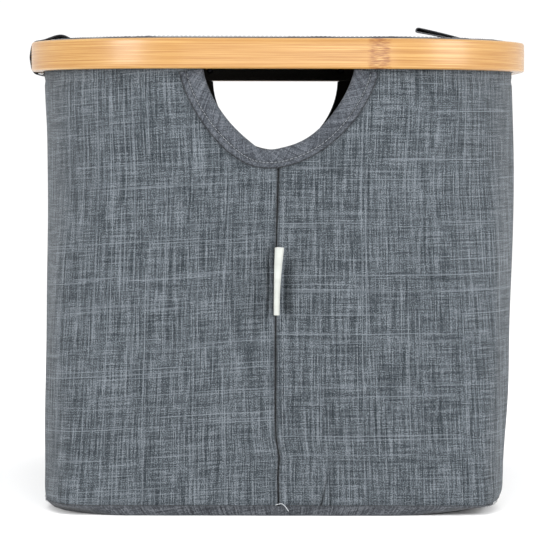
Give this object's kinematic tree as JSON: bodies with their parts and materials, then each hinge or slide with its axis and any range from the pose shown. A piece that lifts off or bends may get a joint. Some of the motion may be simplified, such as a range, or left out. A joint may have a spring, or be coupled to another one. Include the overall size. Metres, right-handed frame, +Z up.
{
  "type": "laundry hamper with lid",
  "caption": "Rectangular fabric laundry hamper with a bent bamboo rim, a strap-hinged fabric lid with a pull tab, and a curved hand hole in each short side.",
  "frame": {"origin": "on the floor, under the middle of the hoop", "axes": "+Z up; +Y along the long side, away from the short side that carries the label; -X towards the lid's hinge, +X towards its pull tab"},
  "size_m": [0.4066, 0.4839, 0.391],
  "materials": {
    "bamboo": "clear-lacquered bent bamboo strip, fine straight grain",
    "grey_linen": "matt mottled grey linen-look canvas, plain weave",
    "black_lining": "matt black lining cloth",
    "charcoal_webbing": "matt charcoal cotton webbing",
    "white_ribbon": "satin white woven ribbon, blank",
    "greyboard": "pressed greyboard",
    "screw_steel": "zinc-plated",
    "rod_steel": "black-coated spring steel",
    "cap_plastic": "moulded black plastic"
  },
  "bodies": {
    "basket": {"rim_hoop": "bamboo", "hem_frame": "greyboard", "hem_sleeve": "black_lining", "hem_screw_01": "screw_steel", "hem_screw_02": "screw_steel", "hem_screw_03": "screw_steel", "hem_screw_04": "screw_steel", "hem_screw_05": "screw_steel", "hem_screw_06": "screw_steel", "hem_screw_07": "screw_steel", "hem_screw_08": "screw_steel", "hem_screw_09": "screw_steel", "hem_screw_10": "screw_steel", "shell_left": "grey_linen", "shell_right": "grey_linen", "hole_facing_front": "grey_linen", "hole_facing_back": "grey_linen", "side_label": "white_ribbon", "lining": "black_lining", "base_panel": "grey_linen", "base_board": "greyboard", "rod_front_left": "rod_steel", "rod_sleeve_front_left": "black_lining", "rod_foot_front_left": "cap_plastic", "rod_tip_front_left": "cap_plastic", "rod_front_right": "rod_steel", "rod_sleeve_front_right": "black_lining", "rod_foot_front_right": "cap_plastic", "rod_tip_front_right": "cap_plastic", "rod_back_right": "rod_steel", "rod_sleeve_back_right": "black_lining", "rod_foot_back_right": "cap_plastic", "rod_tip_back_right": "cap_plastic", "rod_back_left": "rod_steel", "rod_sleeve_back_left": "black_lining", "rod_foot_back_left": "cap_plastic", "rod_tip_back_left": "cap_plastic", "hinge_strap_front": "charcoal_webbing", "hinge_strap_back": "charcoal_webbing"},
    "lid": {"lid_board": "greyboard", "lid_top_cover": "grey_linen", "lid_under_cover": "black_lining", "lid_binding": "charcoal_webbing"},
    "pull_tab": {"pull_tab": "charcoal_webbing"}
  },
  "joints": [
    {"name": "lid_hinge", "type": "hinge", "parent": "basket", "child": "lid", "pos_m": [-0.197, 0, 0.378], "axis": [0, -1, 0], "range_deg": [0, 230], "deforming": ["hinge_strap_front", "hinge_strap_back"]},
    {"name": "pull_tab_fold", "type": "hinge", "parent": "lid", "child": "pull_tab", "pos_m": [0.176, 0, 0.3766], "axis": [0, 1, 0], "range_deg": [-11, 150]}
  ]
}
